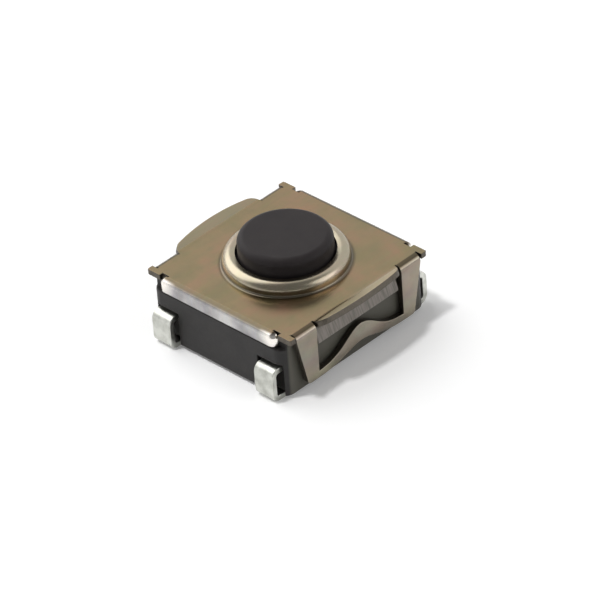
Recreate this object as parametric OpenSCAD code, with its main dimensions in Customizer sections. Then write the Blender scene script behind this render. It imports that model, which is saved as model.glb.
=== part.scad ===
// Sealed surface-mount tactile push button switch, square, with a stamped steel cover.
// The board is the plane z = 0. The cover's flaps are on the two X sides and the
// four J-bent solder terminals on the two Y sides. All sizes are in millimetres.

/* [Moulded base] */
// Width of the base between the cover's two flaps
base_w = 5.76; // [5.5:0.02:7.2]
// Length of the base between its two terminal sides
base_l = 6.56; // [6.2:0.02:8.2]
// Height of the base from its underside to the seat of the cover
base_h = 2.08; // [1.98:0.01:2.8]
// Gap between the board and the underside of the base
standoff = 0.12; // [0.05:0.01:0.2]
// Radius of the four upright corners
base_corner_r = 0.4; // [0.2:0.05:0.6]
// Depth of the floor of the cavity below the top of the contacts
floor_drop = 0.05; // [0.02:0.01:0.1]

/* [Latch ramps] */
// How far a latch ramp stands out of the side of the base
ramp_out = 0.19; // [0.1:0.01:0.23]
// Height of the upright land at the foot of the ramp
ramp_land = 0.06; // [0.03:0.01:0.12]
// Distance from the seat of the cover down to the top of the ramp
ramp_top = 0.1; // [0.05:0.01:0.2]

/* [Steel cover] */
// Thickness of the cover's sheet
sheet_t = 0.2; // [0.14:0.01:0.24]
// Inner radius of every bend
bend_in_r = 0.04; // [0.02:0.01:0.12]
// How far the corners of the plate stand back from the terminal sides of the base
corner_back = 0.14; // [0.04:0.01:0.2]
// Radius of the four corners of the plate
corner_r = 0.06; // [0.02:0.01:0.1]
// Straight length of the turned-down lip on each terminal side
lip_len = 4.6; // [3.6:0.05:4.7]
// How far the lip reaches below its bend
lip_drop = 0.24; // [0.05:0.01:0.35]
// Width of the slits that let the bends start cleanly
slit_w = 0.05; // [0.03:0.01:0.12]
// How far the rounded tab between the legs reaches past the face of the flap, if laid flat
tab_out = 0.29; // [0.1:0.01:0.5]
// Radius of the long outer edge of the tab
tab_edge_r = 8.3; // [6:0.1:20]
// Radius of the two corners of the tab
tab_corner_r = 0.45; // [0.3:0.05:1]
// Angle by which the tab is bent up out of the plate
tab_tilt = 21; // [5:1:25]
// Inner radius of the soft bend at the root of the tab
tab_bend_in_r = 0.5; // [0.2:0.05:0.8]

/* [Flaps] */
// Width of the window between the two legs of a flap
window_w = 3.9; // [3.5:0.05:4.1]
// Width of a leg where it leaves the bend
leg_w = 0.9; // [0.7:0.05:0.95]
// How much narrower a leg is at its foot
leg_taper = 0.36; // [0:0.02:0.45]
// Radius of the outer corners of the legs' feet
leg_corner_r = 0.16; // [0.05:0.01:0.2]
// Distance from the underside of the base to the lower edge of the flap
flap_lift = 0.23; // [0.01:0.01:0.3]
// Height of the spring bar that joins the feet of the legs
bar_h = 0.24; // [0.2:0.01:0.5]
// Rise of the hump along the upper edge of the bar
hump_rise = 0.75; // [0.3:0.01:0.8]
// Rise of the hump along the lower edge of the bar
hump_rise_low = 0.34; // [0.2:0.01:0.6]
// Half-width of the hump, where it has fallen to about a third
hump_half_w = 0.95; // [0.7:0.05:1.1]

/* [Drawn collar] */
// Width of the collar's top, from its hole to the face of its wall
collar_w = 0.44; // [0.4:0.01:0.5]
// Height of the collar above the plate
collar_up = 0.43; // [0.3:0.01:0.6]
// Thickness of the sheet in the collar, where it is drawn thin
collar_t = 0.15; // [0.1:0.01:0.18]
// Inner radius of the rounded shoulder at the top of the wall
shoulder_in_r = 0.12; // [0.06:0.01:0.16]
// Angle at which the top of the collar leans down towards its hole
collar_lean = 16; // [0:1:30]
// Radius of the fillet at the foot of the wall
fillet_r = 0.08; // [0.04:0.01:0.12]

/* [Push button] */
// Radius of the button's stem
stem_r = 1.55; // [1.29:0.01:1.6]
// Height of the press face above the plate of the cover
stem_up = 1.02; // [0.7:0.01:2]
// Radius of the rounding round the press face
stem_edge_r = 0.25; // [0.1:0.01:0.4]
// Thickness of the flange that holds the button in
flange_t = 0.45; // [0.3:0.01:0.5]
// Radius of the foot under the flange
foot_r = 1.2; // [0.8:0.05:1.5]

/* [Rubber seal] */
// Thickness of the seal's membrane
seal_t = 0.15; // [0.12:0.01:0.16]
// How far the seal's clamped rim reaches past its skirt
seal_rim_w = 0.28; // [0.2:0.01:0.3]
// Room between the button's flange and the skirt of the seal
skirt_room = 0.28; // [0.2:0.01:0.3]
// Thickness of the clamped rim
seal_rim_t = 0.17; // [0.12:0.01:0.25]

/* [Snap dome] */
// Rise of the dome's underside at the centre
dome_rise = 0.32; // [0.2:0.01:0.34]
// Thickness of the dome
dome_t = 0.06; // [0.04:0.01:0.08]
// How far the dome is trimmed back on two of its sides
dome_trim = 0.45; // [0.35:0.01:0.6]

/* [Contact frames] */
// Distance between the two rows of terminals
pitch = 4.5; // [4.3:0.05:4.6]
// Width of a terminal
lead_w = 0.8; // [0.6:0.05:0.9]
// Thickness of the contact frames
lead_t = 0.2; // [0.15:0.01:0.25]
// Distance from the board to the top of the contacts
contact_h = 1.22; // [1.1:0.01:1.36]
// How far the terminals stand out of the sides of the base
terminal_out = 0.3; // [0.25:0.01:1]
// Outer radius of the terminals' bends
lead_bend_r = 0.3; // [0.26:0.01:0.4]
// Length of a solder foot, from the face of its terminal to its tip
foot_len = 0.95; // [0.7:0.05:1.2]
// Radius of the fixed contact at the centre
pad_r = 0.6; // [0.4:0.05:0.8]
// Width of the arm that carries the fixed contact at the centre
arm_w = 0.6; // [0.4:0.05:0.8]
// Width of the two rest pads under the dome's rim
rest_w = 2.4; // [1.6:0.05:2.6]
// Reach of a rest pad along the terminal rows
rest_reach = 0.55; // [0.4:0.05:0.6]
// How far a rest pad reaches out past the dome's rim
rest_margin = 0.1; // [0.05:0.01:0.15]

/* [Clearances] */
// Gap between the sides of the base and the flaps
flap_gap = 0.06; // [0.03:0.01:0.1]
// Gap between the base and the lower edges of the lips
lip_gap = 0.03; // [0.02:0.01:0.06]
// Gap between the hump of the spring bar and the ledge above it
latch_gap = 0.2; // [0.05:0.01:0.25]
// Gap between the latch ramps and the legs beside them
ramp_side_gap = 0.1; // [0.05:0.01:0.2]
// Gap at a flat face between parts that rest on each other
seat_gap = 0.01; // [0.01:0.01:0.03]
// Gap round the stem in the hole of the collar
stem_gap = 0.07; // [0.03:0.01:0.1]
// Gap round the flange in the wall of the collar
flange_side_gap = 0.07; // [0.03:0.01:0.1]
// Gap between the flange and the top of the collar above it
flange_gap = 0.02; // [0.01:0.01:0.04]
// Gap round the seal in the base
seal_gap = 0.03; // [0.02:0.01:0.05]
// Gap round the dome in its cavity
dome_gap = 0.3; // [0.25:0.01:0.35]
// Gap between a terminal and the pocket it stands in
pocket_gap = 0.1; // [0.05:0.01:0.15]
// Depth of the pockets in the sides of the base behind the terminals
pocket_depth = 0.15; // [0.05:0.01:0.25]

/* [Hidden] */
$fn = 96;
arc_steps = 12;                              // straight pieces in a drawn arc
hump_steps = 40;                             // straight pieces along the hump
over = 1;                                    // how far a cutter runs past what it cuts

base_z = standoff;                           // underside of the base
seat_z = base_z + base_h;                    // underside of the cover's plate
plate_z = seat_z + sheet_t;                  // upper face of the cover's plate
bend_r = bend_in_r + sheet_t;                // outer radius of the bends
bend_z = plate_z - bend_r;                   // height of the bends' axes

flap_in_x = base_w / 2 + flap_gap;           // inner face of a flap
flap_out_x = flap_in_x + sheet_t;            // outer face of a flap
bend_x = flap_out_x - bend_r;                // line where the flaps' bends start
lip_out_y = base_l / 2;                      // outer face of a lip
bend_y = lip_out_y - bend_r;                 // line where the lips' bends start
lip_end_x = lip_len / 2 + bend_r;            // outer end of a lip
lip_z = bend_z - lip_drop;                   // lower edge of a lip
corner_y = base_l / 2 - corner_back;         // edge of the plate at its corners
leg_in_y = window_w / 2;                     // inner edge of a leg
leg_out_y = leg_in_y + leg_w;                // outer edge of a leg at the bend
flap_z = base_z + flap_lift;                 // lower edge of a flap
ledge_z = flap_z + bar_h + hump_rise + latch_gap;
ramp_half_w = leg_in_y - ramp_side_gap;

hole_r = stem_r + stem_gap;                  // hole in the collar for the stem
collar_r = hole_r + collar_w;                // face of the collar's wall
collar_in_r = collar_r - collar_t;           // inner face of the collar's wall
collar_z = plate_z + collar_up;              // top of the collar at its shoulder
shoulder_r = shoulder_in_r + collar_t;       // outer radius of the shoulder
shoulder = [collar_r - shoulder_r, collar_z - shoulder_r];

press_z = plate_z + stem_up;                 // press face of the button
flange_r = collar_in_r - flange_side_gap;
flange_top_z = lean_z(shoulder_in_r) - flange_gap;

seal_skirt_in_r = flange_r + skirt_room;     // inner face of the seal's skirt
seal_skirt_r = seal_skirt_in_r + seal_t;
seal_rim_r = seal_skirt_r + seal_rim_w;
seal_rim_top = seat_z - seat_gap;
cavity_r = seal_skirt_r + seal_gap;          // cavity that holds the mechanism

dome_r = cavity_r - dome_gap;                // radius of the dome at its rim
dome_top_z = contact_h + dome_rise + dome_t;
dome_ball_r = (dome_r * dome_r + dome_rise * dome_rise) / (2 * dome_rise);
seal_z = dome_top_z + seat_gap;              // underside of the membrane
foot_z = seal_z + seal_t + seat_gap;         // underside of the button's foot

lead_z = contact_h - lead_t;                 // underside of the contact frames
lead_bend_in_r = lead_bend_r - lead_t;
row_x = pitch / 2;
face_y = base_l / 2 + terminal_out;          // outer face of the terminals
foot_tip_y = face_y - foot_len;
arm_in = 0.1;                                // how far an arm runs into its rail
pad_out_y = dome_r + rest_margin;            // outer edge of the rest pads
pad_in_y = pad_out_y - rest_reach;           // inner edge of the rest pads

// Points on an arc round c, from angle a0 to angle a1
function arc(c, r, a0, a1) =
    [for (i = [0:arc_steps]) let (a = a0 + (a1 - a0) * i / arc_steps)
        [c[0] + r * cos(a), c[1] + r * sin(a)]];

// Height at the hole of the line that leaves a shoulder arc of radius r at the collar's lean
function lean_z(r) = shoulder[1] + r * cos(collar_lean)
    - (shoulder[0] - r * sin(collar_lean) - hole_r) * tan(collar_lean);

// A bell curve: the rise of the spring bar at a distance y from its middle
function bell(y, rise) = rise * exp(-pow(y / hump_half_w, 2));

module both_x() { children(); mirror([1, 0, 0]) children(); }
module both_y() { children(); mirror([0, 1, 0]) children(); }

// A flat shape drawn in y and z, standing in a plane of constant x
module stand_x(x, t) {
    translate([x, 0, 0]) rotate([90, 0, 90]) linear_extrude(t) children();
}

// A quarter of a tube, the section of a right-angled bend
module bend_section(r_out, r_in) {
    intersection() {
        difference() { circle(r_out); circle(r_in); }
        square(r_out + over);
    }
}

// ---------------------------------------------------------------- moulded base

// Plan of the base: a rectangle whose corners are true arcs
module base_plan() {
    square([base_w, base_l - 2 * base_corner_r], center = true);
    square([base_w - 2 * base_corner_r, base_l], center = true);
    both_x() both_y()
        translate([base_w / 2 - base_corner_r, base_l / 2 - base_corner_r])
            circle(base_corner_r);
}

// One latch ramp: it slopes out downwards and ends in a ledge over the spring bar
module latch_ramp() {
    ramp_x = base_w / 2 + ramp_out;
    translate([0, ramp_half_w, 0]) rotate([90, 0, 0]) linear_extrude(2 * ramp_half_w)
        polygon([
            [base_w / 2 - base_corner_r, seat_z - ramp_top], [base_w / 2, seat_z - ramp_top],
            [ramp_x, ledge_z + ramp_land], [ramp_x, ledge_z],
            [base_w / 2 - base_corner_r, ledge_z]
        ]);
}

// The room for one terminal: a pocket in the side wall and one under the base
module terminal_pocket() {
    w = lead_w + 2 * pocket_gap;
    translate([row_x - w / 2, base_l / 2 - pocket_depth, base_z - over])
        cube([w, pocket_depth + over, contact_h + pocket_gap - base_z + over]);
    translate([row_x - w / 2, foot_tip_y - pocket_gap, base_z - over])
        cube([w, over + foot_len, lead_t + pocket_gap - base_z + over]);
}

// A strip cut from the top edge, where the cover's lip turns down
module lip_rebate() {
    translate([-base_w, bend_y, lip_z - lip_gap])
        cube([2 * base_w, over + bend_r, over + lip_drop]);
}

// A chamfer along the top edge, which clears the inside of the flaps' bends
module flap_chamfer() {
    translate([base_w / 2, base_l, seat_z]) rotate([90, 0, 0]) linear_extrude(2 * base_l)
        polygon([[-bend_in_r, 0], [0, -bend_in_r], [over, -bend_in_r], [over, over],
                 [-bend_in_r, over]]);
}

module base_housing() {
    color("#2b2726") difference() {
        union() {
            translate([0, 0, base_z]) linear_extrude(base_h) base_plan();
            both_x() latch_ramp();
        }
        translate([0, 0, contact_h - floor_drop]) cylinder(h = base_h, r = cavity_r);
        translate([0, 0, seal_rim_top - seal_rim_t])
            cylinder(h = base_h, r = seal_rim_r + seal_gap);
        both_x() both_y() terminal_pocket();
        both_y() lip_rebate();
        both_x() flap_chamfer();
        translate([0, 0, lead_z]) linear_extrude(lead_t) {
            centre_frame_plan();
            outer_frame_plan();
        }
    }
}

// -------------------------------------------------------------- contact frames

// The straight rail that joins the two terminals of one frame
module rail_plan() {
    rail_l = 2 * (face_y - lead_bend_r);
    translate([row_x - lead_w / 2, -rail_l / 2]) square([lead_w, rail_l]);
}

// Flat part of the frame whose arm ends in the fixed contact under the dome
module centre_frame_plan() {
    mirror([1, 0, 0]) rail_plan();
    translate([-row_x + lead_w / 2 - arm_in, -arm_w / 2])
        square([row_x - lead_w / 2 + arm_in, arm_w]);
    circle(pad_r);
}

// Flat part of the frame whose two pads carry the rim of the dome
module outer_frame_plan() {
    rail_plan();
    both_y() translate([-rest_w / 2, pad_in_y])
        square([rest_w / 2 + row_x - lead_w / 2 + arm_in, rest_reach]);
}

// One J-bent terminal: over, down the side of the base and back under it
module j_terminal() {
    drop = contact_h - 2 * lead_bend_r;
    foot_flat = foot_len - lead_bend_r;
    translate([row_x - lead_w / 2, face_y - lead_bend_r, 0]) rotate([90, 0, 90])
        linear_extrude(lead_w) {
            translate([0, contact_h - lead_bend_r]) bend_section(lead_bend_r, lead_bend_in_r);
            translate([lead_bend_in_r, lead_bend_r]) square([lead_t, drop]);
            translate([0, lead_bend_r]) mirror([0, 1]) bend_section(lead_bend_r, lead_bend_in_r);
            translate([-foot_flat, 0]) square([foot_flat, lead_t]);
        }
}

module centre_contact_frame() {
    color("#d8d9d2") {
        translate([0, 0, lead_z]) linear_extrude(lead_t) centre_frame_plan();
        mirror([1, 0, 0]) both_y() j_terminal();
    }
}

module outer_contact_frame() {
    color("#d8d9d2") {
        translate([0, 0, lead_z]) linear_extrude(lead_t) outer_frame_plan();
        both_y() j_terminal();
    }
}

// ------------------------------------------------------- dome, seal and button

// A thin ball cap, trimmed on two sides so that it clears the centre frame's arm
module snap_dome() {
    trim_x = dome_r - dome_trim;
    color("#c9c5bd") intersection() {
        translate([0, 0, contact_h + dome_rise - dome_ball_r]) difference() {
            sphere(dome_ball_r + dome_t);
            sphere(dome_ball_r);
        }
        translate([0, 0, contact_h]) intersection() {
            cylinder(h = base_h, r = dome_r);
            translate([-trim_x, -dome_r - over, 0])
                cube([2 * trim_x, 2 * (dome_r + over), base_h]);
        }
    }
}

// A flat membrane hung from a rim that the cover clamps on the base
module rubber_seal() {
    rim_z = seal_rim_top - seal_rim_t;
    color("#8c8a86") rotate_extrude() polygon([
        [0, seal_z], [seal_skirt_r, seal_z], [seal_skirt_r, rim_z], [seal_rim_r, rim_z],
        [seal_rim_r, seal_rim_top], [seal_skirt_in_r, seal_rim_top],
        [seal_skirt_in_r, seal_z + seal_t], [0, seal_z + seal_t]
    ]);
}

// A turned form: foot, retaining flange, stem and a rounded edge to the press face
module push_button() {
    flange_z = flange_top_z - flange_t;
    color("#403c3d") rotate_extrude() polygon(concat(
        [[0, foot_z], [foot_r, foot_z], [foot_r, flange_z], [flange_r, flange_z],
         [flange_r, flange_top_z], [stem_r, flange_top_z]],
        arc([stem_r - stem_edge_r, press_z - stem_edge_r], stem_edge_r, 0, 90),
        [[0, press_z]]
    ));
}

// ----------------------------------------------------------------- steel cover

// The rounded tab between the legs, drawn flat for the +X side
module tab_plan() {
    tip_x = flap_out_x + tab_out;
    half_w = leg_in_y - slit_w;
    corner = [tip_x - tab_edge_r + sqrt(pow(tab_edge_r - tab_corner_r, 2)
              - pow(half_w - tab_corner_r, 2)), half_w - tab_corner_r];
    lean = atan2(corner[1], corner[0] - tip_x + tab_edge_r);
    right = concat(
        [[0, half_w]],
        arc(corner, tab_corner_r, 90, lean),
        arc([tip_x - tab_edge_r, 0], tab_edge_r, lean, 0)
    );
    polygon(concat(right, [for (i = [len(right) - 2:-1:0]) [right[i][0], -right[i][1]]]));
}

// The tab's section along X: it leaves the plate in a soft bend and slopes up
module tab_section() {
    reach = over * [cos(tab_tilt), sin(tab_tilt)];
    root = [bend_x, plate_z + tab_bend_in_r];
    low = arc(root, tab_bend_in_r + sheet_t, 270, 270 + tab_tilt);
    high = arc(root, tab_bend_in_r, 270 + tab_tilt, 270);
    polygon(concat(
        [[bend_x - sheet_t, seat_z]], low,
        [low[arc_steps] + reach, high[0] + reach], high, [[bend_x - sheet_t, plate_z]]
    ));
}

// The tab, whose cut edge is square to its slope
module tab() {
    intersection() {
        translate([bend_x, 0, plate_z]) rotate([0, -tab_tilt, 0])
            translate([-bend_x, 0, -over]) linear_extrude(2 * over) tab_plan();
        translate([0, leg_in_y, 0]) rotate([90, 0, 0]) linear_extrude(window_w)
            tab_section();
    }
}

// Outline of the flat plate, up to where the bends start
module plate_plan() {
    square([2 * bend_x, 2 * (bend_y - slit_w)], center = true);
    square([lip_len, 2 * bend_y], center = true);
    both_x() both_y() polygon(concat(
        [[lip_end_x + slit_w, leg_out_y + slit_w], [flap_out_x, leg_out_y + slit_w]],
        arc([flap_out_x - corner_r, corner_y - corner_r], corner_r, 0, 90),
        [[lip_end_x + slit_w, corner_y]]
    ));
}

// Half section of the collar: an upright wall, a rounded shoulder and a leaning top
module collar_section() {
    polygon(concat(
        [[collar_in_r, plate_z - sheet_t / 2], [collar_r + fillet_r, plate_z - sheet_t / 2]],
        arc([collar_r + fillet_r, plate_z + fillet_r], fillet_r, 270, 180),
        arc(shoulder, shoulder_r, 0, 90 + collar_lean),
        [[hole_r, lean_z(shoulder_r)], [hole_r, lean_z(shoulder_in_r)]],
        arc(shoulder, shoulder_in_r, 90 + collar_lean, 0)
    ));
}

// Section of a lip, drawn outwards from the line where its bend starts
module lip_section() {
    translate([0, bend_z]) bend_section(bend_r, bend_in_r);
    translate([bend_in_r, lip_z]) square([sheet_t, lip_drop]);
}

// A lip: the plate's edge turned down over the base, with its two ends drawn round
module lip() {
    translate([-lip_len / 2, bend_y, 0]) rotate([90, 0, 90])
        linear_extrude(lip_len) lip_section();
    both_x() translate([lip_len / 2, bend_y, 0])
        rotate_extrude(angle = 90) lip_section();
}

// Outline of a flap: two tapered legs and the humped spring bar between their feet
module flap_plan() {
    corner = [leg_out_y - leg_taper - leg_corner_r, flap_z + leg_corner_r];
    low = [for (i = [1:hump_steps - 1]) let (y = corner[0] * (2 * i / hump_steps - 1))
        [y, flap_z + bell(y, hump_rise_low)]];
    high = [for (i = [0:hump_steps]) let (y = leg_in_y * (1 - 2 * i / hump_steps))
        [y, flap_z + bar_h + bell(y, hump_rise)]];
    polygon(concat(
        [[-leg_out_y, bend_z]], arc([-corner[0], corner[1]], leg_corner_r, 180, 270), low,
        arc(corner, leg_corner_r, 270, 360),
        [[leg_out_y, bend_z], [leg_in_y, bend_z]], high, [[-leg_in_y, bend_z]]
    ));
}

module flap() {
    stand_x(flap_in_x, sheet_t) flap_plan();
    both_y() translate([bend_x, leg_out_y, bend_z]) rotate([90, 0, 0])
        linear_extrude(leg_w) bend_section(bend_r, bend_in_r);
}

module steel_cover() {
    color("#978a6b") {
        translate([0, 0, seat_z]) linear_extrude(sheet_t) difference() {
            plate_plan();
            circle(collar_in_r);
        }
        rotate_extrude() collar_section();
        both_x() {
            flap();
            tab();
        }
        both_y() lip();
    }
}

base_housing();
centre_contact_frame();
outer_contact_frame();
snap_dome();
rubber_seal();
push_button();
steel_cover();
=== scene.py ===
"""Sealed surface-mount tactile push button switch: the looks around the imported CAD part.

Seven pieces follow in the order in which they go together: base, contact frames, snap dome, seal,
button and cover. Each mesh is drawn in millimetres and settled in metres.
"""
import math

import bmesh
import bpy
from mathutils import Matrix, Vector


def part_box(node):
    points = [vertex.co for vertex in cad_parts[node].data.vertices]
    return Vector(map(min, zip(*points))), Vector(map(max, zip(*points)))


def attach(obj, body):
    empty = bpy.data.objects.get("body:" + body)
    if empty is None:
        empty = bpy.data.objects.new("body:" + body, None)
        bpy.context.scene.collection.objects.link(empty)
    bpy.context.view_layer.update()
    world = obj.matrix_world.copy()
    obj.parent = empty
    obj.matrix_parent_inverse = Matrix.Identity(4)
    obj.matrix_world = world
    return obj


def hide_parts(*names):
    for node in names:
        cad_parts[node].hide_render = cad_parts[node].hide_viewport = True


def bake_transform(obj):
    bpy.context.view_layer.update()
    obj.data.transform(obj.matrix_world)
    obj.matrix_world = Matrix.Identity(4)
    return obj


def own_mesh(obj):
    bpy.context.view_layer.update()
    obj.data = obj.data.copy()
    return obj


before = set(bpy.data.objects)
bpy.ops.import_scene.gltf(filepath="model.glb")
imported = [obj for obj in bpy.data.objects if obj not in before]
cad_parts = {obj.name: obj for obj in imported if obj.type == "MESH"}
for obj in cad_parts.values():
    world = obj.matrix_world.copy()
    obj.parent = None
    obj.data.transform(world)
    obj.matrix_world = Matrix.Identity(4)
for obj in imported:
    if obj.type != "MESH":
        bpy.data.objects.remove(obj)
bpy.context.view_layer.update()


# ---------------------------------------------------------------------------------- moulded base
# The base is one shot of glass-filled thermoplastic, near black, moulded round the two contact
# frames. The tool's spark-eroded texture leaves it matt, and every outer edge is slightly rounded.

BASE_SIDE_X = 2.88   # the faces beside the flaps, from which the latch ramps stand out
BASE_EDGE_R = 0.03


def linear(code):
    """An sRGB hex colour as the linear colour that a shader's socket takes."""
    shares = [int(code[i:i + 2], 16) / 255 for i in (1, 3, 5)]
    return [s / 12.92 if s <= 0.04045 else ((s + 0.055) / 1.055) ** 2.4 for s in shares] + [1]


def add(tree, kind, inputs, **settings):
    """Adds a node. Each input, by name or number, is a value or the output that feeds it."""
    node = tree.nodes.new(kind)
    for name, value in settings.items():
        setattr(node, name, value)
    for name, value in inputs.items():
        if isinstance(value, bpy.types.NodeSocket):
            tree.links.new(value, node.inputs[name])
        else:
            node.inputs[name].default_value = value
    return node


def cad_copy(node):
    """A CAD node's mesh copied in millimetres, its loose triangles merged into whole faces."""
    drawn = bmesh.new()
    drawn.from_mesh(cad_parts[node].data)
    drawn.transform(Matrix.Scale(1000, 4))
    bmesh.ops.remove_doubles(drawn, verts=drawn.verts, dist=0.0005)
    bmesh.ops.dissolve_limit(
        drawn, angle_limit=math.radians(1), verts=drawn.verts, edges=drawn.edges
    )
    return drawn


def piece(name, node, drawn, modifiers, materials):
    """Finishes a mesh drawn in millimetres, and settles it in metres in a CAD node's place."""
    mesh = bpy.data.meshes.new(name)
    drawn.to_mesh(mesh)
    drawn.free()
    thing = bpy.data.objects.new(name, mesh)
    bpy.context.scene.collection.objects.link(thing)
    for material in materials:
        mesh.materials.append(material)
    mesh.shade_smooth()
    for kind, settings in modifiers:
        modifier = thing.modifiers.new(kind.lower(), kind)
        for key, value in settings.items():
            if hasattr(modifier, key):
                setattr(modifier, key, value)
            else:
                modifier[key] = value   # an input of a node group, by its identifier
    finished = thing.evaluated_get(bpy.context.evaluated_depsgraph_get())
    thing.data = bpy.data.meshes.new_from_object(finished)
    thing.modifiers.clear()
    thing.data.transform(Matrix.Scale(0.001, 4))
    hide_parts(node)
    return thing


def rounding(radius, steps=2, angle=35):
    """The modifiers that round the edges sharper than an angle, and keep flat faces flat."""
    return [
        ("BEVEL", {"width": radius, "segments": steps, "limit_method": "ANGLE",
                   "angle_limit": math.radians(angle), "use_clamp_overlap": False}),
        ("WEIGHTED_NORMAL", {"weight": 80}),
    ]


def new_finish(name):
    """A new material, with its node tree, its shader and the place on the piece in metres."""
    material = bpy.data.materials.new(name)
    material.use_nodes = True
    tree = material.node_tree
    place = add(tree, "ShaderNodeTexCoord", {}).outputs["Object"]
    return material, tree, tree.nodes["Principled BSDF"], place


def moulded_thermoplastic():
    """Glass-filled LCP from an eroded tool: a matt skin with a grain of about 0.05 mm."""
    material, tree, shader, place = new_finish("glass_filled_thermoplastic")
    flow = add(tree, "ShaderNodeTexNoise",
               {"Vector": place, "Scale": 1000 / 0.9, "Detail": 4, "Roughness": 0.6})
    tone = add(tree, "ShaderNodeValToRGB", {"Fac": flow.outputs["Fac"]})
    tone.color_ramp.elements[0].position = 0.35
    tone.color_ramp.elements[0].color = linear("#191716")
    tone.color_ramp.elements[1].position = 0.68
    tone.color_ramp.elements[1].color = linear("#242120")

    # The latch ramps are painted pale with upright streaks: scrape marks from the flaps snapping
    # over them, on a painted sheen where the ramps face up into the light. The faces beside the
    # flaps are painted lighter grey, a painted lift of the shade on that side.
    at = add(tree, "ShaderNodeSeparateXYZ", {0: place})
    out = add(tree, "ShaderNodeMath", {0: at.outputs["X"]}, operation="ABSOLUTE")
    ramp = add(tree, "ShaderNodeMapRange",
               {"Value": out.outputs[0], "From Min": (BASE_SIDE_X + 0.01) / 1000,
                "From Max": (BASE_SIDE_X + 0.05) / 1000})
    upright = add(tree, "ShaderNodeMapping",
                  {"Vector": place, "Scale": (1000 / 0.5, 1000 / 0.06, 1000 / 0.7)})
    streaks = add(tree, "ShaderNodeTexNoise",
                  {"Vector": upright.outputs["Vector"], "Scale": 1, "Detail": 4})
    streaks_and_sheen = add(tree, "ShaderNodeMapRange",
               {"Value": streaks.outputs["Fac"], "From Min": 0.3, "From Max": 0.6,
                "To Min": 0.35, "To Max": 1})
    scrapes_and_painted_sheen = add(tree, "ShaderNodeMath", {0: ramp.outputs[0], 1: streaks_and_sheen.outputs[0]},
                  operation="MULTIPLY")
    # Painted light: the faces beside the flaps are lifted to a lighter grey against their shade.
    side = add(tree, "ShaderNodeMapRange",
               {"Value": out.outputs[0], "From Min": (BASE_SIDE_X - 0.04) / 1000,
                "From Max": (BASE_SIDE_X - 0.01) / 1000, "To Max": 0.75})
    colour = add(tree, "ShaderNodeMix",
                 {0: side.outputs[0], 6: tone.outputs["Color"], 7: linear("#5c5a50")},
                 data_type="RGBA").outputs[2]
    # Painted sheen on the ramps, with the scrape streaks over it.
    colour = add(tree, "ShaderNodeMix",
                 {0: scrapes_and_painted_sheen.outputs[0], 6: colour, 7: linear("#8d867f")},
                 data_type="RGBA").outputs[2]
    grain = add(tree, "ShaderNodeTexNoise",
                {"Vector": place, "Scale": 1000 / 0.05, "Detail": 3, "Roughness": 0.7})
    gloss = add(tree, "ShaderNodeMapRange",
                {"Value": grain.outputs["Fac"], "To Min": 0.42, "To Max": 0.6})
    bump = add(tree, "ShaderNodeBump",
               {"Height": grain.outputs["Fac"], "Strength": 0.5, "Distance": 0.000008})
    tree.links.new(colour, shader.inputs["Base Color"])
    tree.links.new(gloss.outputs["Result"], shader.inputs["Roughness"])
    tree.links.new(bump.outputs["Normal"], shader.inputs["Normal"])
    shader.inputs["IOR"].default_value = 1.42
    return material


base = piece("moulded_base", "base_housing", cad_copy("base_housing"), rounding(BASE_EDGE_R),
             [moulded_thermoplastic()])
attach(base, "housing")


# -------------------------------------------------------------------------------- contact frames
# Two stampings of tinned copper alloy are moulded into the base. Their four ends are bent down
# the sides and back under it, and the plating there is a soft, even, silvery white.

STRIP_W = 0.8
STRIP_T = 0.2
STRIP_BEND_R = 0.2   # to the middle of the strip
ROW_X = 2.25         # the two rows of terminals stand at -X and +X
FOOT_TIP_Y = 2.63
PAD_R = 0.6          # the fixed contact at the centre
REST_HALF = 1.2      # the pads under the dome's rim
REST_IN_Y = 1.55
REST_OUT_Y = 2.1
TERMINAL_EDGE_R = 0.025


def arc(centre, radius, start, end, steps=12):
    """Points on an arc, from one angle to another in degrees."""
    turns = [math.radians(start + (end - start) * i / steps) for i in range(steps + 1)]
    return [
        (centre[0] + radius * math.cos(turn), centre[1] + radius * math.sin(turn))
        for turn in turns
    ]


def tin_plating():
    """Matt electroplated tin: pale and silvery, clouded at 0.3 mm, with fine drawn scuffs."""
    material, tree, shader, place = new_finish("matt_tin_plating")
    cloud = add(tree, "ShaderNodeTexNoise",
                {"Vector": place, "Scale": 1000 / 0.35, "Detail": 4, "Roughness": 0.55})
    tone = add(tree, "ShaderNodeValToRGB", {"Fac": cloud.outputs["Fac"]})
    tone.color_ramp.elements[0].position = 0.34
    tone.color_ramp.elements[0].color = linear("#b2b3ab")
    tone.color_ramp.elements[1].position = 0.62
    tone.color_ramp.elements[1].color = linear("#d3d4cd")
    drawn = add(tree, "ShaderNodeMapping",
                {"Vector": place, "Scale": (1000 / 0.03, 1000 / 0.4, 1000 / 0.4)})
    scuffs = add(tree, "ShaderNodeTexNoise",
                 {"Vector": drawn.outputs["Vector"], "Scale": 1, "Detail": 3})
    gloss = add(tree, "ShaderNodeMapRange",
                {"Value": scuffs.outputs["Fac"], "To Min": 0.26, "To Max": 0.42})
    bump = add(tree, "ShaderNodeBump",
               {"Height": scuffs.outputs["Fac"], "Strength": 0.25, "Distance": 0.000004})
    tree.links.new(tone.outputs["Color"], shader.inputs["Base Color"])
    tree.links.new(gloss.outputs["Result"], shader.inputs["Roughness"])
    tree.links.new(bump.outputs["Normal"], shader.inputs["Normal"])
    shader.inputs["Metallic"].default_value = 1
    return material


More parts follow.
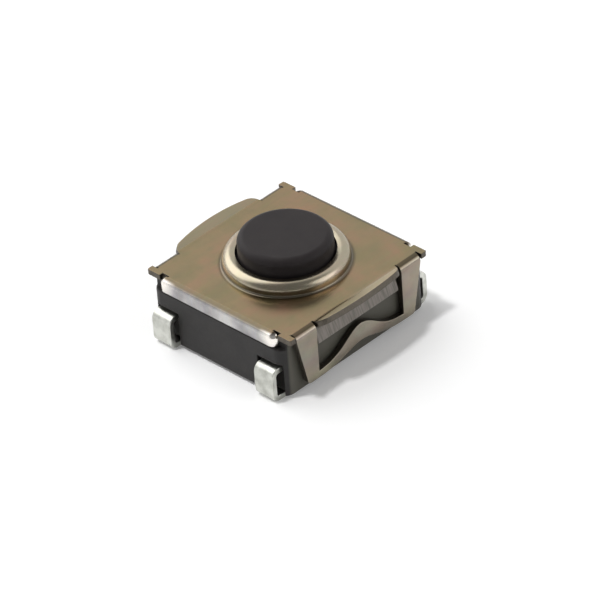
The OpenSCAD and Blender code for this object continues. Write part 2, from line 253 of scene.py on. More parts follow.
def bent_strip():
    """Nodes that round the corners of a path of loose edges and sweep a strip along it."""
    tree = bpy.data.node_groups.new("bent_strip", "GeometryNodeTree")
    tree.interface.new_socket("Geometry", in_out="INPUT", socket_type="NodeSocketGeometry")
    for name in ("Strip Width", "Strip Thickness", "Bend Radius"):
        tree.interface.new_socket(name, in_out="INPUT", socket_type="NodeSocketFloat")
    tree.interface.new_socket("Plating", in_out="INPUT", socket_type="NodeSocketMaterial")
    tree.interface.new_socket("Geometry", in_out="OUTPUT", socket_type="NodeSocketGeometry")
    given = add(tree, "NodeGroupInput", {}).outputs
    faces = add(tree, "GeometryNodeInputMeshEdgeNeighbors", {})
    loose = add(tree, "FunctionNodeCompare", {2: faces.outputs[0], 3: 0},
                data_type="INT", operation="EQUAL")
    path = add(tree, "GeometryNodeMeshToCurve", {"Mesh": given[0], "Selection": loose.outputs[0]})
    bent = add(tree, "GeometryNodeFilletCurve",
               {"Curve": path.outputs[0], "Radius": given["Bend Radius"], "Count": 12},
               mode="POLY")
    section = add(tree, "GeometryNodeCurvePrimitiveQuadrilateral",
                  {"Width": given["Strip Width"], "Height": given["Strip Thickness"]})
    strip = add(tree, "GeometryNodeCurveToMesh",
                {"Curve": bent.outputs[0], "Profile Curve": section.outputs[0],
                 "Fill Caps": True})
    flat = add(tree, "GeometryNodeDeleteGeometry",
               {"Geometry": given[0], "Selection": loose.outputs[0]}, domain="EDGE")
    whole = add(tree, "GeometryNodeJoinGeometry", {0: strip.outputs[0]})
    tree.links.new(flat.outputs[0], whole.inputs[0])
    real = add(tree, "GeometryNodeRealizeInstances", {0: whole.outputs[0]})
    plated = add(tree, "GeometryNodeSetMaterial",
                 {"Geometry": real.outputs[0], "Material": given["Plating"]})
    add(tree, "NodeGroupOutput", {0: plated.outputs[0]})
    return tree


# Each frame's path runs from the tip of one foot, over the rail, to the tip of the other. Flat
# arms come off the rail: one with the round fixed contact, or two with pads for the dome's rim.
low, high = (corner * 1000 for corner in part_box("outer_contact_frame"))
half_t = STRIP_T / 2
turn_y = high.y - half_t
middle_z = high.z - half_t
ends = [(turn_y, middle_z), (turn_y, low.z + half_t), (FOOT_TIP_Y, low.z + half_t)]
rail_x = ROW_X - STRIP_W / 2
contact_arm = [*arc((0, 0), PAD_R, -150, 150, 30), (-rail_x, PAD_R / 2), (-rail_x, -PAD_R / 2)]
rest_pads = [
    [(-REST_HALF, side * y) for y in (REST_IN_Y, REST_OUT_Y)]
    + [(rail_x, side * y) for y in (REST_OUT_Y, REST_IN_Y)]
    for side in (1, -1)
]
tin = tin_plating()
strip_nodes = bent_strip()
sockets = {item.name: item.identifier for item in strip_nodes.interface.items_tree
           if item.in_out == "INPUT"}
swept_strip = ("NODES", {
    "node_group": strip_nodes,
    sockets["Strip Width"]: STRIP_W,
    sockets["Strip Thickness"]: STRIP_T,
    sockets["Bend Radius"]: STRIP_BEND_R,
    sockets["Plating"]: tin,
})
for name, node, row_x, arms in (
    ("centre_stamping", "centre_contact_frame", -ROW_X, [contact_arm]),
    ("outer_stamping", "outer_contact_frame", ROW_X, rest_pads),
):
    drawn = bmesh.new()
    for arm in arms:
        face = drawn.faces.new([drawn.verts.new((x, y, high.z - STRIP_T)) for x, y in arm])
        raised_arm = bmesh.ops.extrude_face_region(drawn, geom=[face])["geom"]
        bmesh.ops.translate(
            drawn, vec=(0, 0, STRIP_T),
            verts=[part for part in raised_arm if isinstance(part, bmesh.types.BMVert)],
        )
    bmesh.ops.recalc_face_normals(drawn, faces=drawn.faces)
    path = [drawn.verts.new((row_x, -y, z)) for y, z in reversed(ends)]
    path += [drawn.verts.new((row_x, y, z)) for y, z in ends]
    for pair in zip(path, path[1:]):
        drawn.edges.new(pair)
    contacts = piece(name, node, drawn, [swept_strip, *rounding(TERMINAL_EDGE_R)], [tin])
    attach(contacts, "housing")


# ------------------------------------------------------------------------------------- snap dome
# A shallow disc of spring steel, trimmed on two sides, rests on the pads at the bottom of the
# cavity. It snaps flat under the button.

DOME_T = 0.06


def grid(drawn, rows):
    """Adds faces between rows of points. Points that coincide are merged later."""
    made = [[drawn.verts.new(point) for point in row] for row in rows]
    for here, there in zip(made, made[1:]):
        for i in range(len(here) - 1):
            drawn.faces.new((here[i], here[i + 1], there[i + 1], there[i]))


def tidy_up(drawn, upright):
    """Merges points that coincide and turns the faces alike, so that a flat top points up."""
    bmesh.ops.remove_doubles(drawn, verts=drawn.verts, dist=0.0002)
    bmesh.ops.recalc_face_normals(drawn, faces=drawn.faces)
    if upright and max(drawn.faces, key=lambda face: face.calc_area()).normal.z < 0:
        bmesh.ops.reverse_faces(drawn, faces=drawn.faces)
    return drawn


def rolled_spring_steel():
    """Bright rolled spring steel: hard, smooth, with fine lines along the strip."""
    material, tree, shader, place = new_finish("rolled_spring_steel")
    along = add(tree, "ShaderNodeMapping",
                {"Vector": place, "Scale": (1000 / 0.02, 1000 / 1.5, 1000 / 0.1)})
    lines = add(tree, "ShaderNodeTexNoise",
                {"Vector": along.outputs["Vector"], "Scale": 1, "Detail": 4})
    tone = add(tree, "ShaderNodeValToRGB", {"Fac": lines.outputs["Fac"]})
    tone.color_ramp.elements[0].color = linear("#aaa69e")
    tone.color_ramp.elements[1].color = linear("#cfccc4")
    gloss = add(tree, "ShaderNodeMapRange",
                {"Value": lines.outputs["Fac"], "To Min": 0.18, "To Max": 0.32})
    tree.links.new(tone.outputs["Color"], shader.inputs["Base Color"])
    tree.links.new(gloss.outputs["Result"], shader.inputs["Roughness"])
    shader.inputs["Metallic"].default_value = 1
    return material


low, high = (corner * 1000 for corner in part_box("snap_dome"))
rise = high.z - low.z
ball_r = (high.y ** 2 + rise ** 2) / (2 * rise)
dome = bmesh.new()

# The disc is the cap of a ball, in rows of points that get shorter towards its trimmed sides.
rows = []
for i in range(25):
    x = high.x * (i / 12 - 1)
    half = math.sqrt(high.y ** 2 - x ** 2)
    points = [(x, half * (j / 16 - 1)) for j in range(33)]
    rows.append([
        (x, y, high.z - ball_r + math.sqrt(ball_r ** 2 - x * x - y * y)) for x, y in points
    ])
grid(dome, rows)
dome = piece(
    "sprung_disc", "snap_dome", tidy_up(dome, True),
    [("SOLIDIFY", {"thickness": DOME_T, "offset": -1}), ("WEIGHTED_NORMAL", {})],
    [rolled_spring_steel()],
)
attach(dome, "housing")
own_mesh(dome)


# ----------------------------------------------------------------------------------- rubber seal
# A moulded silicone cup hangs from a rim that the cover clamps on the base. Its floor goes down
# with the button, and its thin skirt stretches.

SEAL_T = 0.15
SEAL_RIM_W = 0.28
SEAL_RIM_T = 0.17
SEAL_EDGE_R = 0.03
TURN_STEPS = 128


def lathe(drawn, profile):
    """Turns a profile of radii and heights about the Z axis."""
    angles = [2 * math.pi * i / TURN_STEPS for i in range(TURN_STEPS + 1)]
    grid(drawn, [[(r * math.cos(a), r * math.sin(a), z) for r, z in profile] for a in angles])
    return drawn


def silicone_rubber():
    """Moulded silicone: matt, slightly translucent grey, with a soft skin."""
    material, tree, shader, place = new_finish("moulded_silicone")
    skin = add(tree, "ShaderNodeTexNoise",
               {"Vector": place, "Scale": 1000 / 0.12, "Detail": 4})
    tone = add(tree, "ShaderNodeValToRGB", {"Fac": skin.outputs["Fac"]})
    tone.color_ramp.elements[0].color = linear("#83817d")
    tone.color_ramp.elements[1].color = linear("#979590")
    bump = add(tree, "ShaderNodeBump",
               {"Height": skin.outputs["Fac"], "Strength": 0.4, "Distance": 0.000004})
    tree.links.new(tone.outputs["Color"], shader.inputs["Base Color"])
    tree.links.new(bump.outputs["Normal"], shader.inputs["Normal"])
    shader.inputs["Roughness"].default_value = 0.62
    shader.inputs["IOR"].default_value = 1.41
    return material


low, high = (corner * 1000 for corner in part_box("rubber_seal"))
skirt_r = high.x - SEAL_RIM_W
rim_z = high.z - SEAL_RIM_T
seal = lathe(bmesh.new(), [
    (0, low.z), (skirt_r, low.z), (skirt_r, rim_z), (high.x, rim_z), (high.x, high.z),
    (skirt_r - SEAL_T, high.z), (skirt_r - SEAL_T, low.z + SEAL_T), (0, low.z + SEAL_T),
])
seal = piece("silicone_cup", "rubber_seal", tidy_up(seal, False), rounding(SEAL_EDGE_R),
             [silicone_rubber()])
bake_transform(seal)


# ----------------------------------------------------------------------------------- push button
# The plunger is moulded in charcoal thermoplastic: a foot on the seal, a flange that the collar
# keeps in, and a short round stem with a flat press face and a generous edge.

STEM_R = 1.55
STEM_EDGE_R = 0.25
FLANGE_T = 0.45
FLANGE_TOP = 0.806   # from the press face down to the flange
BUTTON_FOOT_R = 1.2
BUTTON_EDGE_R = 0.03


def button_plastic():
    """Charcoal moulded plastic: matt, with a fine eroded grain and a rubbed sheen in places."""
    material, tree, shader, place = new_finish("charcoal_moulded_plastic")
    cloud = add(tree, "ShaderNodeTexNoise",
                {"Vector": place, "Scale": 1000 / 0.7, "Detail": 4, "Roughness": 0.6})
    tone = add(tree, "ShaderNodeValToRGB", {"Fac": cloud.outputs["Fac"]})
    tone.color_ramp.elements[0].position = 0.3
    tone.color_ramp.elements[0].color = linear("#252122")
    tone.color_ramp.elements[1].position = 0.7
    tone.color_ramp.elements[1].color = linear("#2d2929")
    grain = add(tree, "ShaderNodeTexNoise",
                {"Vector": place, "Scale": 1000 / 0.045, "Detail": 3, "Roughness": 0.7})
    gloss = add(tree, "ShaderNodeMapRange",
                {"Value": cloud.outputs["Fac"], "To Min": 0.46, "To Max": 0.6})
    bump = add(tree, "ShaderNodeBump",
               {"Height": grain.outputs["Fac"], "Strength": 0.5, "Distance": 0.000008})
    tree.links.new(tone.outputs["Color"], shader.inputs["Base Color"])
    tree.links.new(gloss.outputs["Result"], shader.inputs["Roughness"])
    tree.links.new(bump.outputs["Normal"], shader.inputs["Normal"])
    shader.inputs["IOR"].default_value = 1.45
    shader.inputs["Specular IOR Level"].default_value = 0.19
    return material


low, high = (corner * 1000 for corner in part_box("push_button"))
flange_z = high.z - FLANGE_TOP
button = lathe(bmesh.new(), [
    (0, low.z), (BUTTON_FOOT_R, low.z), (BUTTON_FOOT_R, flange_z - FLANGE_T),
    (high.x, flange_z - FLANGE_T), (high.x, flange_z), (STEM_R, flange_z),
    *arc((STEM_R - STEM_EDGE_R, high.z - STEM_EDGE_R), STEM_EDGE_R, 0, 90), (0, high.z),
])
button = piece("moulded_button", "push_button", tidy_up(button, False), rounding(BUTTON_EDGE_R),
               [button_plastic()])
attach(button, "button")


# ----------------------------------------------------------------------------------- steel cover
# The cover is one stamping of thin stainless sheet: a plate with a drawn collar round the button,
# two lips turned down over the terminal sides, two raised tabs, and two flaps that latch on the
# base, each with a window and a humped spring bar along its foot.

SHEET_T = 0.2
BEND_R = 0.24        # outer radius of the bends
FLAP_X = 3.14        # outer faces of the flaps
COLLAR_UP = 0.43     # from the plate up to the top of the collar
COLLAR_W = 0.44      # from the hole's edge out to the collar's wall
COLLAR_HOLE_R = STEM_R + 0.07
COLLAR_LEAN = 6      # degrees by which the collar's top leans towards the hole
SHOULDER_R = 0.28    # between the collar's wall and its top
FILLET_R = 0.08      # between the plate and the collar's wall
LIP_HALF = 2.3
LIP_DROP = 0.24      # straight part of the lip below its bend
SLIT_W = 0.05        # slits that let the bends start cleanly
CORNER_BACK = 0.14   # how far the plate's corners stand back from the lips
CORNER_R = 0.06
TAB_OUT = 0.29       # how far the flat tab reaches past the flap
TAB_EDGE_R = 8.3
TAB_CORNER_R = 0.45
TAB_TILT = math.radians(21)
TAB_BEND_R = 0.5     # inner radius of the soft bend at the tab's root
LEG_IN = 1.95        # inner edge of the legs beside a flap's window
LEG_OUT = 2.85       # their outer edge at the bend
LEG_TAPER = 0.36     # how far that edge comes in towards the foot
LEG_CORNER_R = 0.16
BAR_H = 0.24         # height of the spring bar at its ends
HUMP_RISE = 0.75     # rise of the bar's upper edge at its middle
HUMP_RISE_LOW = 0.34
HUMP_HALF_W = 0.95
CUT_EDGE_R = 0.018


def sheet_steel():
    """Stamped stainless steel: warm tan where flat, with painted reflections, highlights and
    shade.
    """
    material, tree, shader, place = new_finish("stamped_stainless_steel")
    patches = add(tree, "ShaderNodeTexNoise",
                  {"Vector": place, "Scale": 1000 / 1.1, "Detail": 4, "Roughness": 0.55})
    tone = add(tree, "ShaderNodeValToRGB", {"Fac": patches.outputs["Fac"]})
    tone.color_ramp.elements[0].position = 0.32
    tone.color_ramp.elements[0].color = linear("#867b5e")
    tone.color_ramp.elements[1].position = 0.68
    tone.color_ramp.elements[1].color = linear("#967b63")
    middle = tone.color_ramp.elements.new(0.5)
    middle.color = linear("#8e7d61")
    colour = tone.outputs["Color"]

    # The lips and the legs are painted in other tones: a pale cool grey on the lips, a painted
    # reflection of the lit floor below them, and a grey tan on the legs, a painted reflection of
    # the shaded floor beside them.
    at = add(tree, "ShaderNodeSeparateXYZ", {0: place})
    below = add(tree, "ShaderNodeMapRange",
                {"Value": at.outputs["Z"], "From Min": (plate_z - 0.02) / 1000,
                 "From Max": (plate_z - 0.1) / 1000})
    for axis, start, shades in (
        ("X", FLAP_X, ("#8a8175", "#9b9285")), ("Y", lip_y + BEND_R, ("#8b888a", "#c4c3c1")),
    ):
        out = add(tree, "ShaderNodeMath", {0: at.outputs[axis]}, operation="ABSOLUTE")
        face = add(tree, "ShaderNodeMapRange",
                   {"Value": out.outputs[0], "From Min": (start - 0.2) / 1000,
                    "From Max": (start - 0.04) / 1000})
        turned = add(tree, "ShaderNodeMath", {0: face.outputs[0], 1: below.outputs[0]},
                     operation="MULTIPLY")
        shade = add(tree, "ShaderNodeTexNoise",
                    {"Vector": place, "Scale": 1000 / 1.4, "Detail": 3, "Roughness": 0.6})
        painted_reflection_tone = add(tree, "ShaderNodeValToRGB", {"Fac": shade.outputs["Fac"]})
        painted_reflection_tone.color_ramp.elements[0].position = 0.36
        painted_reflection_tone.color_ramp.elements[0].color = linear(shades[0])
        painted_reflection_tone.color_ramp.elements[1].position = 0.66
        painted_reflection_tone.color_ramp.elements[1].color = linear(shades[1])
        # The painted reflection tone goes onto the turned-down faces.
        colour = add(tree, "ShaderNodeMix",
                     {0: turned.outputs[0], 6: colour, 7: painted_reflection_tone.outputs["Color"]},
                     data_type="RGBA").outputs[2]
    # The collar is painted a paler steel, a painted brightening of the crescent highlight on it.
    flat = add(tree, "ShaderNodeCombineXYZ", {"X": at.outputs["X"], "Y": at.outputs["Y"]})
    radius = add(tree, "ShaderNodeVectorMath", {0: flat.outputs[0]}, operation="LENGTH")
    drawn = add(tree, "ShaderNodeMapRange",
                {"Value": radius.outputs["Value"], "From Min": collar_foot_r / 1000,
                 "From Max": (collar_foot_r - 0.06) / 1000, "To Max": 0.6})
    colour = add(tree, "ShaderNodeMix",
                 {0: drawn.outputs[0], 6: colour, 7: linear("#b3ad9d")},
                 data_type="RGBA").outputs[2]

    # The raised tabs are painted paler, a painted reflection of the bright horizon that they tilt
    # towards, and are made more matt.
    above = add(tree, "ShaderNodeMapRange",
                {"Value": at.outputs["Z"], "From Min": (plate_z + 0.002) / 1000,
                 "From Max": (plate_z + 0.04) / 1000})
    beyond = add(tree, "ShaderNodeMath", {0: radius.outputs["Value"], 1: leg_x / 1000},
                 operation="GREATER_THAN")
    tab = add(tree, "ShaderNodeMath", {0: above.outputs[0], 1: beyond.outputs[0]},
              operation="MULTIPLY")
    tab = add(tree, "ShaderNodeMath", {0: tab.outputs[0], 1: 0.5}, operation="MULTIPLY")
    colour = add(tree, "ShaderNodeMix",
                 {0: tab.outputs[0], 6: colour, 7: linear("#b5ad96")},
                 data_type="RGBA").outputs[2]

    # A painted highlight: the lips' rounded ends are painted near white where they catch the
    # light.
    lip_end = Vector((LIP_HALF + 0.12, lip_y + 0.17, bend_z + 0.1)) / 1000
    mirrored = add(tree, "ShaderNodeVectorMath", {0: place}, operation="ABSOLUTE")
    from_end = add(tree, "ShaderNodeVectorMath", {0: mirrored.outputs[0], 1: lip_end},
                   operation="DISTANCE")
    painted_lip_end_glint = add(tree, "ShaderNodeMapRange",
                    {"Value": from_end.outputs["Value"], "From Min": 0.0006,
                     "From Max": 0.0002})
    painted_lip_end_glint = add(tree, "ShaderNodeMath", {0: painted_lip_end_glint.outputs[0], 1: below.outputs[0]},
                    operation="MULTIPLY")

    # Painted dark lines: a painted dark reflection along the tops of the bends, and painted shade
    # in the crease at the foot of the collar.
    bend_top = add(tree, "ShaderNodeMapRange",
                   {"Value": at.outputs["Z"], "From Min": (plate_z - 0.0003) / 1000,
                    "From Max": (plate_z - 0.002) / 1000})
    bend_end = add(tree, "ShaderNodeMapRange",
                   {"Value": at.outputs["Z"], "From Min": (plate_z - 0.12) / 1000,
                    "From Max": (plate_z - 0.05) / 1000})
    painted_bend_dark_reflection = add(tree, "ShaderNodeMath", {0: bend_top.outputs[0], 1: bend_end.outputs[0]},
                  operation="MULTIPLY")
    crease = add(tree, "ShaderNodeMapRange",
                 {"Value": radius.outputs["Value"], "From Min": (collar_foot_r + 0.08) / 1000,
                  "From Max": (collar_foot_r - 0.02) / 1000})
    low_down = add(tree, "ShaderNodeMapRange",
                   {"Value": at.outputs["Z"], "From Min": (plate_z + 0.09) / 1000,
                    "From Max": (plate_z + 0.03) / 1000})
    painted_crease_shade = add(tree, "ShaderNodeMath", {0: crease.outputs[0], 1: low_down.outputs[0]},
                operation="MULTIPLY")
    painted_darkening = add(tree, "ShaderNodeMath", {0: painted_bend_dark_reflection.outputs[0], 1: painted_crease_shade.outputs[0]},
               operation="MAXIMUM")
    painted_darkening = add(tree, "ShaderNodeMath", {0: painted_darkening.outputs[0], 1: 0.7}, operation="MULTIPLY")
    # The painted dark reflection and the painted shade, mixed in.
    colour = add(tree, "ShaderNodeMix",
                 {0: painted_darkening.outputs[0], 6: colour, 7: linear("#3c3831")},
                 data_type="RGBA").outputs[2]
    # The painted highlight on the lips' rounded ends.
    colour = add(tree, "ShaderNodeMix",
                 {0: painted_lip_end_glint.outputs[0], 6: colour, 7: linear("#f4efe8")},
                 data_type="RGBA").outputs[2]

    # The sheet was rolled along Y, which leaves lines about 0.035 mm apart. The drawn collar and
    # the raised tabs are rougher than the rest.
    along = add(tree, "ShaderNodeMapping",
                {"Vector": place, "Scale": (1000 / 0.035, 1000 / 1.2, 1000 / 0.5)})
    lines = add(tree, "ShaderNodeTexNoise",
                {"Vector": along.outputs["Vector"], "Scale": 1, "Detail": 4, "Roughness": 0.6})
    streaked = add(tree, "ShaderNodeMix",
                   {0: 0.2, 6: colour, 7: lines.outputs["Color"]},
                   data_type="RGBA", blend_type="SOFT_LIGHT")
    gloss = add(tree, "ShaderNodeMapRange",
                {"Value": patches.outputs["Fac"], "To Min": 0.15, "To Max": 0.27})
    dull = add(tree, "ShaderNodeMath", {0: drawn.outputs[0], 1: 0.45}, operation="MULTIPLY")
    gloss = add(tree, "ShaderNodeMath", {0: gloss.outputs[0], 1: dull.outputs[0]},
                operation="MAXIMUM")
    gloss = add(tree, "ShaderNodeMath", {0: gloss.outputs[0], 1: tab.outputs[0]},
                operation="MAXIMUM")
    bump = add(tree, "ShaderNodeBump",
               {"Height": lines.outputs["Fac"], "Strength": 0.25, "Distance": 0.000003})
    tree.links.new(streaked.outputs[2], shader.inputs["Base Color"])
    tree.links.new(gloss.outputs[0], shader.inputs["Roughness"])
    tree.links.new(bump.outputs["Normal"], shader.inputs["Normal"])
    shader.inputs["Metallic"].default_value = 1
    return material


def sheared_edge():
    """The cut edge of the sheet: dull bare steel with the punch's fine upright scoring."""
    material, tree, shader, place = new_finish("sheared_steel_edge")
    across = add(tree, "ShaderNodeMapping",
                 {"Vector": place, "Scale": (1000 / 0.04, 1000 / 0.04, 1000 / 0.5)})
    scores = add(tree, "ShaderNodeTexNoise",
                 {"Vector": across.outputs["Vector"], "Scale": 1, "Detail": 3})
    tone = add(tree, "ShaderNodeValToRGB", {"Fac": scores.outputs["Fac"]})
    tone.color_ramp.elements[0].color = linear("#47423c")
    tone.color_ramp.elements[1].color = linear("#6e685f")
    bump = add(tree, "ShaderNodeBump",
               {"Height": scores.outputs["Fac"], "Strength": 0.4, "Distance": 0.000005})
    tree.links.new(tone.outputs["Color"], shader.inputs["Base Color"])
    tree.links.new(bump.outputs["Normal"], shader.inputs["Normal"])
    shader.inputs["Metallic"].default_value = 1
    shader.inputs["Roughness"].default_value = 0.4
    return material


low, high = (corner * 1000 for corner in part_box("steel_cover"))
plate_z = high.z - COLLAR_UP
bend_z = plate_z - BEND_R        # where every bend ends
leg_x = FLAP_X - BEND_R          # where the legs' bends start
lip_y = high.y - BEND_R          # where the lips' bends start
collar_r = COLLAR_HOLE_R + COLLAR_W
collar_foot_r = collar_r + FILLET_R
tab_half = LEG_IN - SLIT_W
corner_y = high.y - CORNER_BACK
ear_x = LIP_HALF + BEND_R + SLIT_W
ear_y = LEG_OUT + SLIT_W


def hump(y, rise):
    """How far the spring bar's edge rises at a distance y from its middle."""
    return rise * math.exp(-((y / HUMP_HALF_W) ** 2))


def raised(reach, y):
    """Where a point of the flat tab lies when the tab is bent up at its root."""
    on_bend = min(reach, TAB_BEND_R * math.sin(TAB_TILT))
    chord = TAB_BEND_R * math.cos(TAB_TILT)
    drop = math.sqrt(
        chord ** 2 - on_bend ** 2 + 2 * TAB_BEND_R * on_bend * math.sin(TAB_TILT)
    ) - chord
    return (
        leg_x + reach * math.cos(TAB_TILT) + drop * math.sin(TAB_TILT), y,
        plate_z + reach * math.sin(TAB_TILT) - drop * math.cos(TAB_TILT),
    )


# A quarter of the cover's outer face is drawn, mirrored twice, and then given its thickness.
quarter = bmesh.new()

# The tab between the legs has a long curved edge, which meets its rounded corner smoothly.
edge_x = FLAP_X + TAB_OUT - TAB_EDGE_R
corner_x = edge_x + math.sqrt(
    (TAB_EDGE_R - TAB_CORNER_R) ** 2 - (tab_half - TAB_CORNER_R) ** 2
)
lean = math.degrees(math.atan2(tab_half - TAB_CORNER_R, corner_x - edge_x))
root = math.degrees(math.acos(max((leg_x - corner_x) / TAB_CORNER_R, 0)))
tab_edge = [
    *arc((corner_x, tab_half - TAB_CORNER_R), TAB_CORNER_R, root, lean),
    *arc((edge_x, 0), TAB_EDGE_R, lean, 0, 16)[1:],
]
grid(quarter, [
    [raised((x - leg_x) * i / 16, y) for i in range(17)] for x, y in tab_edge
])

# The flat plate lies between the collar's foot, the starts of the bends and the corner's ear.
outline = [
    *arc((0, 0), collar_foot_r, 0, 90, TURN_STEPS // 4),
    (0, lip_y), (LIP_HALF, lip_y), (LIP_HALF, lip_y - SLIT_W), (ear_x, lip_y - SLIT_W),
    (ear_x, corner_y),
    *arc((FLAP_X - CORNER_R, corner_y - CORNER_R), CORNER_R, 90, 0, 6),
    (FLAP_X, ear_y), (leg_x, ear_y), (leg_x, LEG_OUT), (leg_x, LEG_IN),
    *((leg_x, y) for x, y in tab_edge),
]
quarter.faces.new([quarter.verts.new((x, y, plate_z)) for x, y in outline])

# The collar's wall turns up from the plate, over its shoulder and in to the hole.
shoulder = (collar_r - SHOULDER_R, high.z - SHOULDER_R)
crest = arc(shoulder, SHOULDER_R, 0, 90 + COLLAR_LEAN, 18)
wall = [
    *arc((collar_foot_r, plate_z + FILLET_R), FILLET_R, 270, 180, 8), *crest,
    (COLLAR_HOLE_R, crest[-1][1] - (crest[-1][0] - COLLAR_HOLE_R)
     * math.tan(math.radians(COLLAR_LEAN))),
]
grid(quarter, [
    [(r * math.cos(turn), r * math.sin(turn), z) for r, z in wall]
    for turn in (2 * math.pi * i / TURN_STEPS for i in range(TURN_STEPS // 4 + 1))
])

# The lip's bend runs straight along its side, and turns through a quarter at its rounded end.
bend = arc((0, bend_z), BEND_R, 90, 0, 10)
lip = [*bend, (BEND_R, bend_z - LIP_DROP)]
grid(quarter, [[(0, lip_y + r, z) for r, z in lip]] + [
    [(LIP_HALF + r * math.sin(turn), lip_y + r * math.cos(turn), z) for r, z in lip]
    for turn in (math.radians(9 * i) for i in range(11))
])
grid(quarter, [[(leg_x + r, y, z) for r, z in bend] for y in (LEG_IN, LEG_OUT)])

# Half a flap: the spring bar's lower edge, the leg, and the bar's upper edge back to the middle.
leg_foot_y = LEG_OUT - LEG_TAPER - LEG_CORNER_R
lower = [(y, low.z + hump(y, HUMP_RISE_LOW)) for y in (leg_foot_y * i / 24 for i in range(24))]
upper = [(y, low.z + BAR_H + hump(y, HUMP_RISE)) for y in (LEG_IN * i / 24 for i in range(25))]
flap = [
    *lower, *arc((leg_foot_y, low.z + LEG_CORNER_R), LEG_CORNER_R, 270, 360, 8),
    (LEG_OUT, bend_z), (LEG_IN, bend_z), *reversed(upper),
]
quarter.faces.new([quarter.verts.new((FLAP_X, y, z)) for y, z in flap])

quarter_mesh = bpy.data.meshes.new("cover_quarter")
quarter.to_mesh(quarter_mesh)
quarter.free()
cover = bmesh.new()
for flip_x in (1, -1):
    for flip_y in (1, -1):
        side = quarter_mesh.copy()
        side.transform(Matrix.Diagonal((flip_x, flip_y, 1, 1)))
        if flip_x != flip_y:
            side.flip_normals()
        cover.from_mesh(side)
cover = piece(
    "stamped_cover", "steel_cover", tidy_up(cover, True),
    [("SOLIDIFY", {"thickness": SHEET_T, "offset": -1, "use_even_offset": True,
                   "material_offset_rim": 1}),
     *rounding(CUT_EDGE_R)],
    [sheet_steel(), sheared_edge()],
)
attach(cover, "housing")


# -------------------------------------------------------------------------------- floor and light
# The switch lies on a plain white sweep. A wide softbox at the left makes the bright crescent on
# the collar, a small lamp nearly overhead makes the firm shadow beside the flap, and a weak fill
# at the right opens up the flap and its window.

FLOOR_HALF = 0.6
FLOOR_GLOW = 0.15    # what the paper adds where it is seen, so that it comes out white
ROOM_LIGHT = 0.2     # even light from the room on what isn't polished
LAMP_DISTANCE = 0.5
floor_mesh = bpy.data.meshes.new("floor")
floor_mesh.from_pydata(
    [(x, y, 0) for x, y in ((-1, -1), (1, -1), (1, 1), (-1, 1))], [], [(0, 1, 2, 3)]
)
floor_mesh.transform(Matrix.Scale(FLOOR_HALF, 4))
floor = bpy.data.objects.new("floor", floor_mesh)
bpy.context.scene.collection.objects.link(floor)

paper = bpy.data.materials.new("white_paper")
paper.use_nodes = True
tree = paper.node_tree
shader = tree.nodes["Principled BSDF"]
shader.inputs["Base Color"].default_value = linear("#f4f4f4")
shader.inputs["Roughness"].default_value = 0.9
shader.inputs["Specular IOR Level"].default_value = 0
shader.inputs["Emission Color"].default_value = (1, 1, 1, 1)
path = add(tree, "ShaderNodeLightPath", {})
seen = add(tree, "ShaderNodeMath",
           {0: path.outputs["Is Camera Ray"], 1: path.outputs["Is Glossy Ray"]},
           operation="MAXIMUM")
seen = add(tree, "ShaderNodeMath",
           {0: seen.outputs[0], 1: path.outputs["Is Transmission Ray"]}, operation="MAXIMUM")
glow = add(tree, "ShaderNodeMath", {0: seen.outputs[0], 1: FLOOR_GLOW}, operation="MULTIPLY")
tree.links.new(glow.outputs[0], shader.inputs["Emission Strength"])
floor_mesh.materials.append(paper)

# The camera sees a white room. Reflections see pale walls that fall off to a dim stretch high
# above the front corner, which darkens the front of the collar under its crescent.
world = bpy.data.worlds.new("studio")
bpy.context.scene.world = world
world.use_nodes = True
tree = world.node_tree
back = tree.nodes["Background"]
path = add(tree, "ShaderNodeLightPath", {})
seen = add(tree, "ShaderNodeMath",
           {0: path.outputs["Is Glossy Ray"], 1: path.outputs["Is Transmission Ray"]},
           operation="MAXIMUM")
way = add(tree, "ShaderNodeTexCoord", {}).outputs["Generated"]
dim = add(tree, "ShaderNodeVectorMath",
          {0: way, 1: Vector((0.45, -0.5, 0.74)).normalized()}, operation="DOT_PRODUCT")
walls = add(tree, "ShaderNodeValToRGB", {"Fac": dim.outputs["Value"]})
walls.color_ramp.interpolation = "EASE"
walls.color_ramp.elements[0].position = 0.34
walls.color_ramp.elements[0].color = (1, 1, 1, 1)
walls.color_ramp.elements[1].position = 0.7
walls.color_ramp.elements[1].color = (0.24, 0.24, 0.24, 1)
middle = walls.color_ramp.elements.new(0.52)
middle.color = (0.44, 0.44, 0.44, 1)
level = add(tree, "ShaderNodeMix", {0: seen.outputs[0], 2: ROOM_LIGHT, 3: walls.outputs["Color"]})
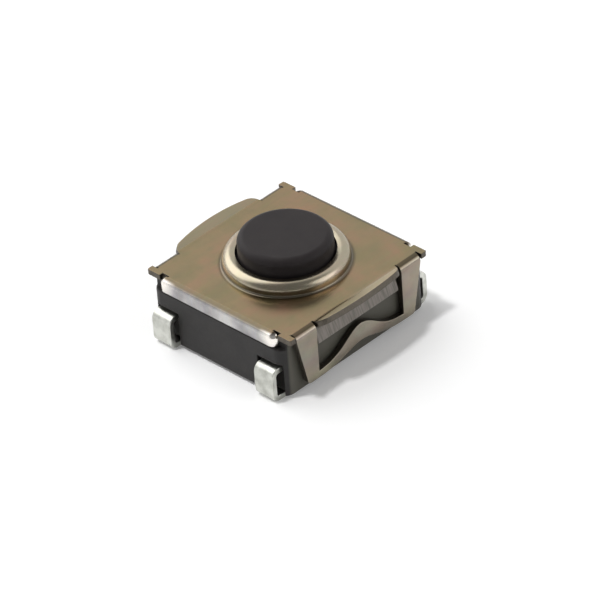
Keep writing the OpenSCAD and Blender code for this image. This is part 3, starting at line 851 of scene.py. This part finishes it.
level = add(tree, "ShaderNodeMix", {0: path.outputs["Is Camera Ray"], 2: level.outputs[0], 3: 1.0})
tree.links.new(level.outputs[0], back.inputs["Strength"])
back.inputs["Color"].default_value = (1, 1, 1, 1)

for name, direction, size, power in (
    ("softbox", (-0.72, -0.1, 0.66), (0.66, 0.6), 1.76),
    ("key_lamp", (-0.18, -0.3, 0.94), (0.06, 0.06), 1.05),
    ("fill", (0.75, 0.35, 0.5), (0.4, 0.4), 0.6),
):
    lamp = bpy.data.lights.new(name, "AREA")
    lamp.shape = "ELLIPSE"
    lamp.size, lamp.size_y = size
    lamp.energy = power
    stand = bpy.data.objects.new(name, lamp)
    aim = Vector(direction).normalized()
    stand.location = aim * LAMP_DISTANCE
    stand.rotation_euler = aim.to_track_quat("Z", "Y").to_euler()
    # The small lamp would be a hot spot in the polished parts, so no reflection shows it.
    stand.visible_glossy = name != "key_lamp"
    bpy.context.scene.collection.objects.link(stand)


# ----------------------------------------------------------------------------------------- camera
# A long lens 0.16 m away looks down on the front corner from about 36 degrees. It is rolled by
# about 4 degrees, so that the switch lies slightly turned in the frame.

AZIMUTH = math.radians(45.96)
ELEVATION = math.radians(35.55)
ROLL = math.radians(-4.274)
TARGET = Vector((0.000438, 0.000026, 0.001005))
DISTANCE = 0.16
LENS = 301.6         # in millimetres, on a sensor 36 mm wide
SENSOR_W = 36
toward = Vector((
    math.sin(AZIMUTH) * math.cos(ELEVATION),
    -math.cos(AZIMUTH) * math.cos(ELEVATION),
    math.sin(ELEVATION),
))
camera = bpy.data.objects.new("camera", bpy.data.cameras.new("camera"))
camera.data.lens = LENS
camera.data.sensor_width = SENSOR_W
camera.data.clip_start = 0.01
camera.data.clip_end = 10
camera.rotation_mode = "QUATERNION"
turn = toward.to_track_quat("Z", "Y")
camera.rotation_quaternion = turn @ Matrix.Rotation(ROLL, 3, "Z").to_quaternion()
camera.location = TARGET + toward * DISTANCE
bpy.context.scene.collection.objects.link(camera)
bpy.context.scene.camera = camera
bpy.context.scene.view_settings.view_transform = "Standard"
